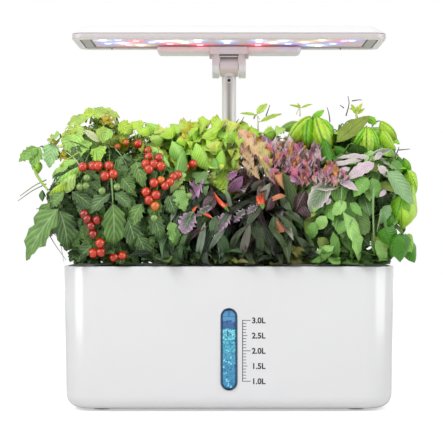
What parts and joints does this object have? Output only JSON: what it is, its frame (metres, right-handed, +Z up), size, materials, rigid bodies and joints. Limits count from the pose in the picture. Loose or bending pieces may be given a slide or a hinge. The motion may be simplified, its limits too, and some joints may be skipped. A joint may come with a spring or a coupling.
{
  "type": "countertop hydroponic garden",
  "caption": "Tabletop garden: a white water tank with a level window, a lift-off planting deck with a pump and pods of herbs and vegetables, and a tilting grow lamp on a sliding post.",
  "frame": {"origin": "on the table under the middle of the tank", "axes": "+X along the tank to the right as seen from the level window, +Y towards the post, +Z up"},
  "size_m": [0.38, 0.16, 0.3563],
  "materials": {
    "white_gloss": "gloss",
    "navy_rubber": "satin",
    "blue_window": "gloss",
    "dark_plastic": "matte",
    "float_blue": "gloss",
    "rubber": "matte",
    "grey_deck": "satin",
    "grey_pod": "satin",
    "circuit_board": "satin",
    "steel": "satin",
    "clear_white": "gloss",
    "silver": "satin",
    "lamp_shell": "satin",
    "lamp_metal": "satin",
    "led_board": "satin",
    "sponge": "matte",
    "tomato_leaf": "satin",
    "pepper_leaf": "satin",
    "purple_leaf": "satin",
    "variegated_leaf": "satin",
    "pale_lettuce": "satin",
    "red_lettuce": "satin",
    "basil_leaf": "satin"
  },
  "bodies": {
    "tank": {"tank_shell": "white_gloss", "window_gasket": "navy_rubber", "window_lens": "blue_window", "float_guide": "dark_plastic", "foot_front_left": "rubber", "foot_front_right": "rubber", "foot_rear_left": "rubber", "foot_rear_right": "rubber"},
    "float": {"level_float": "float_blue"},
    "deck": {"deck_plate": "grey_deck", "console_cover": "grey_deck", "control_board": "circuit_board", "power_jack": "dark_plastic", "lid_pin": "steel", "riser_pipe": "clear_white", "pump_body": "dark_plastic", "pump_cover": "dark_plastic", "outer_tube": "silver", "height_clamp": "dark_plastic", "clamp_screw": "dark_plastic"},
    "impeller": {"impeller": "clear_white"},
    "light_button": {"button_light": "white_gloss"},
    "pump_button": {"button_pump": "white_gloss"},
    "lid": {"fill_lid": "grey_deck"},
    "mast": {"inner_tube": "silver", "hinge_head": "silver", "set_screw": "steel", "lamp_lead": "rubber"},
    "lamp": {"hinge_bracket": "lamp_shell", "hinge_pin": "steel", "hinge_nut": "steel", "lamp_bezel": "lamp_shell", "lamp_tray": "lamp_metal", "led_board": "led_board", "lamp_cover": "lamp_shell", "cable_housing": "lamp_shell"},
    "pod_1": {"pod_basket_1": "grey_pod", "pod_sponge_1": "sponge", "plant_1": "tomato_leaf"},
    "pod_2": {"pod_basket_2": "grey_pod", "pod_sponge_2": "sponge", "plant_2": "pepper_leaf"},
    "pod_3": {"pod_basket_3": "grey_pod", "pod_sponge_3": "sponge", "plant_3": "purple_leaf"},
    "pod_4": {"pod_basket_4": "grey_pod", "pod_sponge_4": "sponge", "plant_4": "variegated_leaf"},
    "pod_5": {"pod_basket_5": "grey_pod", "pod_sponge_5": "sponge", "plant_5": "tomato_leaf"},
    "pod_6": {"pod_basket_6": "grey_pod", "pod_sponge_6": "sponge", "plant_6": "pale_lettuce"},
    "pod_7": {"pod_basket_7": "grey_pod", "pod_sponge_7": "sponge", "plant_7": "red_lettuce"},
    "pod_8": {"pod_basket_8": "grey_pod", "pod_sponge_8": "sponge", "plant_8": "basil_leaf"}
  },
  "joints": [
    {"name": "float_slide", "type": "slide", "parent": "tank", "child": "float", "axis": [0, 0, 1], "range_m": [-0.055, 0.011]},
    {"name": "deck_lift", "type": "slide", "parent": "tank", "child": "deck", "axis": [0, 0, 1], "range_m": [0, 0.13]},
    {"name": "impeller_spin", "type": "hinge", "parent": "deck", "child": "impeller", "pos_m": [0, -0.008, 0.0233], "axis": [0, 1, 0], "continuous": true},
    {"name": "light_button_press", "type": "slide", "parent": "deck", "child": "light_button", "axis": [0, 0, -1], "range_m": [0, 0.001], "stiffness_N_per_m": 300},
    {"name": "pump_button_press", "type": "slide", "parent": "deck", "child": "pump_button", "axis": [0, 0, -1], "range_m": [0, 0.001], "stiffness_N_per_m": 300},
    {"name": "lid_hinge", "type": "hinge", "parent": "deck", "child": "lid", "pos_m": [0.105, 0.0663, 0.1313], "axis": [-1, 0, 0], "range_deg": [0, 100]},
    {"name": "post_height", "type": "slide", "parent": "deck", "child": "mast", "axis": [0, 0, 1], "range_m": [-0.03, 0.08]},
    {"name": "lamp_tilt", "type": "hinge", "parent": "mast", "child": "lamp", "pos_m": [0, 0.052, 0.3245], "axis": [-1, 0, 0], "range_deg": [-10, 90]},
    {"name": "pod_1_lift", "type": "slide", "parent": "deck", "child": "pod_1", "axis": [0, 0, 1], "range_m": [0, 0.042]},
    {"name": "pod_2_lift", "type": "slide", "parent": "deck", "child": "pod_2", "axis": [0, 0, 1], "range_m": [0, 0.042]},
    {"name": "pod_3_lift", "type": "slide", "parent": "deck", "child": "pod_3", "axis": [0, 0, 1], "range_m": [0, 0.042]},
    {"name": "pod_4_lift", "type": "slide", "parent": "deck", "child": "pod_4", "axis": [0, 0, 1], "range_m": [0, 0.042]},
    {"name": "pod_5_lift", "type": "slide", "parent": "deck", "child": "pod_5", "axis": [0, 0, 1], "range_m": [0, 0.042]},
    {"name": "pod_6_lift", "type": "slide", "parent": "deck", "child": "pod_6", "axis": [0, 0, 1], "range_m": [0, 0.042]},
    {"name": "pod_7_lift", "type": "slide", "parent": "deck", "child": "pod_7", "axis": [0, 0, 1], "range_m": [0, 0.042]},
    {"name": "pod_8_lift", "type": "slide", "parent": "deck", "child": "pod_8", "axis": [0, 0, 1], "range_m": [0, 0.042]}
  ]
}
